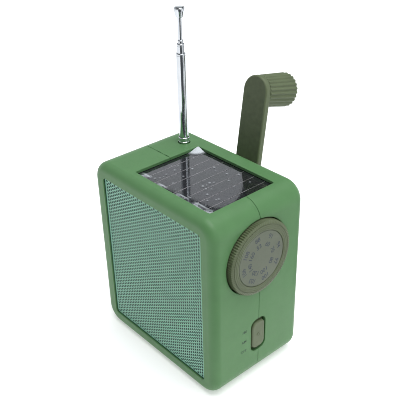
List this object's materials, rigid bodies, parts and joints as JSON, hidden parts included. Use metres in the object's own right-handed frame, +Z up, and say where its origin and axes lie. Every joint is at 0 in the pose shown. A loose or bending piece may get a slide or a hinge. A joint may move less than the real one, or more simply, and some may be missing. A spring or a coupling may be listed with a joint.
{
  "type": "emergency radio",
  "caption": "Hand-cranked, solar-charged emergency radio: box-shaped case, perforated speaker grille, side tuning dial, slide switch, telescopic antenna and fold-out crank.",
  "frame": {"origin": "centre of the case's flat underside, on the seam between the case halves", "axes": "+Z up, the speaker grille faces -Y, the tuning dial and switch face +X, the crank is on the +Y side"},
  "size_m": [0.1041, 0.108, 0.1875],
  "materials": {
    "green_case": "moulded green plastic, fine texture",
    "olive_plastic": "moulded olive-drab plastic",
    "dial_face": "grey-olive plastic with dark blue-grey numbers",
    "grille_sheet": "pale green perforated sheet",
    "chrome": "bright chrome plate",
    "steel": "plain steel",
    "brass": "turned brass",
    "copper": "enamelled copper wire",
    "black_plastic": "black moulded plastic",
    "nylon": "natural nylon",
    "ferrite": "sintered ferrite",
    "cone_paper": "black pressed paper",
    "dust_cloth": "dark woven dust cloth",
    "solar_cell": "dark glossy cell with thin pale lines",
    "clear_film": "clear peel-off film",
    "board": "green circuit board",
    "battery_wrap": "shrink-wrapped cell"
  },
  "bodies": {
    "housing": {"front_case": "green_case", "rear_case": "green_case", "speaker_grille": "grille_sheet", "grille_cloth": "dust_cloth", "speaker_baffle": "black_plastic", "speaker_frame": "steel", "speaker_cone": "cone_paper", "speaker_dust_cap": "cone_paper", "speaker_magnet": "ferrite", "speaker_screw_1": "steel", "speaker_screw_2": "steel", "speaker_screw_3": "steel", "speaker_screw_4": "steel", "solar_panel": "solar_cell", "solar_film": "clear_film", "solar_tray": "black_plastic", "dial_plate": "black_plastic", "tuning_capacitor": "black_plastic", "slide_switch": "black_plastic", "volume_pot": "black_plastic", "circuit_board": "board", "ferrite_rod": "ferrite", "ferrite_coil": "copper", "battery_cell_1": "battery_wrap", "battery_cell_2": "battery_wrap", "battery_cell_3": "battery_wrap", "battery_tray": "black_plastic", "antenna_collar": "chrome", "antenna_sleeve": "steel", "crank_bush": "brass", "dynamo_body": "steel", "gearbox_plate": "black_plastic", "case_screw_1": "steel", "case_screw_2": "steel", "case_screw_3": "steel", "case_screw_4": "steel"},
    "dial": {"tuning_dial": "olive_plastic", "dial_insert": "dial_face", "tuning_shaft": "steel"},
    "switch": {"switch_slider": "olive_plastic", "switch_lever": "steel"},
    "volume": {"volume_wheel": "olive_plastic"},
    "antenna_section_1": {"antenna_tube_1": "chrome"},
    "antenna_section_2": {"antenna_tube_2": "chrome"},
    "antenna_section_3": {"antenna_tube_3": "chrome"},
    "antenna_section_4": {"antenna_rod": "chrome", "antenna_tip": "chrome"},
    "crank": {"crank_hub": "olive_plastic", "crank_shaft": "steel", "drive_gear": "nylon", "hinge_pin": "steel"},
    "arm": {"crank_arm": "olive_plastic", "knob_pin": "steel"},
    "knob": {"crank_knob": "olive_plastic"},
    "intermediate_gears": {"intermediate_pinion": "nylon", "intermediate_wheel": "nylon", "intermediate_shaft": "steel"},
    "dynamo_rotor": {"dynamo_pinion": "steel", "dynamo_shaft": "steel"}
  },
  "joints": [
    {"name": "tuning_turn", "type": "hinge", "parent": "housing", "child": "dial", "pos_m": [0.047, -0.002, 0.0803], "axis": [1, 0, 0], "range_deg": [-135, 135]},
    {"name": "switch_slide", "type": "slide", "parent": "housing", "child": "switch", "axis": [0, 0, 1], "range_m": [-0.0016, 0.0016]},
    {"name": "volume_turn", "type": "hinge", "parent": "housing", "child": "volume", "pos_m": [-0.0405, 0, 0.08], "axis": [0, 1, 0], "range_deg": [-140, 140]},
    {"name": "antenna_slide_1", "type": "slide", "parent": "housing", "child": "antenna_section_1", "axis": [0, 0, 1], "range_m": [-0.0493, 0]},
    {"name": "antenna_slide_2", "type": "slide", "parent": "antenna_section_1", "child": "antenna_section_2", "axis": [0, 0, 1], "range_m": [-0.0052, 0.042]},
    {"name": "antenna_slide_3", "type": "slide", "parent": "antenna_section_2", "child": "antenna_section_3", "axis": [0, 0, 1], "range_m": [-0.0019, 0.044]},
    {"name": "antenna_slide_4", "type": "slide", "parent": "antenna_section_3", "child": "antenna_section_4", "axis": [0, 0, 1], "range_m": [-0.0118, 0.033]},
    {"name": "crank_spin", "type": "hinge", "parent": "housing", "child": "crank", "pos_m": [0, 0.03215, 0.08], "axis": [0, 1, 0], "continuous": true},
    {"name": "arm_fold", "type": "hinge", "parent": "crank", "child": "arm", "pos_m": [0, 0.03695, 0.08], "axis": [-0.9976, 0, -0.0698], "range_deg": [0, 140]},
    {"name": "knob_spin", "type": "hinge", "parent": "arm", "child": "knob", "pos_m": [-0.00415, 0.05046, 0.13934], "axis": [0.0155, 0.9751, -0.221], "continuous": true},
    {"name": "intermediate_spin", "type": "hinge", "parent": "housing", "child": "intermediate_gears", "pos_m": [0.01485, 0, 0.06515], "axis": [0, 1, 0], "continuous": true},
    {"name": "dynamo_spin", "type": "hinge", "parent": "housing", "child": "dynamo_rotor", "pos_m": [0.0263, 0, 0.0537], "axis": [0, 1, 0], "continuous": true}
  ],
  "couplings": [
    {"joint": "intermediate_spin", "follows": "crank_spin", "ratio": -4},
    {"joint": "dynamo_spin", "follows": "crank_spin", "ratio": 14}
  ]
}
